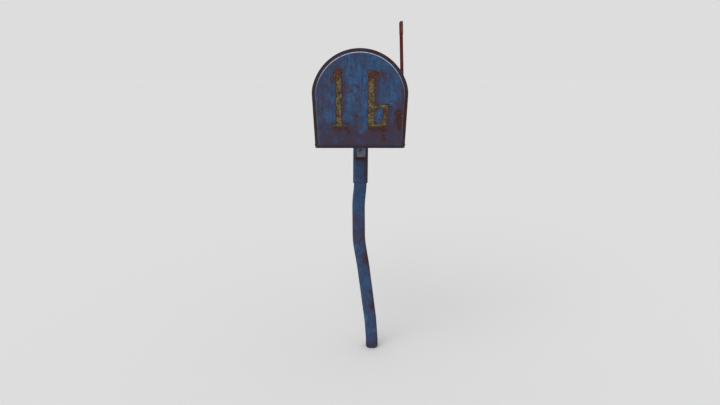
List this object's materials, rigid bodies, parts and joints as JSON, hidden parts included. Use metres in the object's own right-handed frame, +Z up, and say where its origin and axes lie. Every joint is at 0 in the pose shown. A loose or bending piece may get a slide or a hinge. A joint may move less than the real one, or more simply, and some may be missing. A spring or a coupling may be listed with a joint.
{
  "type": "rural post box",
  "caption": "Tunnel-topped sheet steel post box with a drop-down front door and a side signal flag, on a bent chamfered square post with a socket sleeve.",
  "frame": {"origin": "centre of the flat underside of the post's foot", "axes": "+Z up along the post, -Y out through the door, +X towards the wall that carries the signal flag"},
  "size_m": [0.3879, 0.597, 1.5726],
  "materials": {
    "post_paint": "matte",
    "box_paint": "matte",
    "door_paint": "matte",
    "flag_red": "matte",
    "galvanised_steel": "matte",
    "plated_fasteners": "matte",
    "box_rivets": "matte",
    "spring_steel": "satin",
    "bare_inside_steel": "matte",
    "weathered_board": "matte"
  },
  "bodies": {
    "post_and_box": {"post_tube": "post_paint", "foot_cap": "post_paint", "socket_sleeve": "post_paint", "saddle_bracket": "galvanised_steel", "through_bolt": "plated_fasteners", "through_nut": "plated_fasteners", "bolt_washers": "plated_fasteners", "mounting_board": "weathered_board", "saddle_screws": "plated_fasteners", "board_screws": "plated_fasteners", "body_shell": "box_paint", "floor_pan": "bare_inside_steel", "floor_rivets": "box_rivets", "back_panel": "box_paint", "back_rivets": "box_rivets", "hinge_rivets": "box_rivets", "hinge_spacers": "plated_fasteners", "catch_spring": "spring_steel", "catch_rivets": "box_rivets", "flag_bracket": "galvanised_steel", "flag_bracket_rivets": "box_rivets", "flag_pivot_bolt": "plated_fasteners", "flag_pivot_nut": "plated_fasteners", "flag_spring_washer": "spring_steel"},
    "door": {"door_panel": "door_paint", "door_striker": "bare_inside_steel"},
    "flag": {"flag_arm": "flag_red", "flag_blade": "flag_red", "flag_rivets": "flag_red"}
  },
  "joints": [
    {"name": "door_hinge", "type": "hinge", "parent": "post_and_box", "child": "door", "pos_m": [-0.06, -0.2832, 1.079], "axis": [1, 0, 0], "range_deg": [0, 90]},
    {"name": "flag_pivot", "type": "hinge", "parent": "post_and_box", "child": "flag", "pos_m": [0.1205, 0, 1.28252], "axis": [0.9991, 0, 0.0419], "range_deg": [-90, 0]}
  ]
}
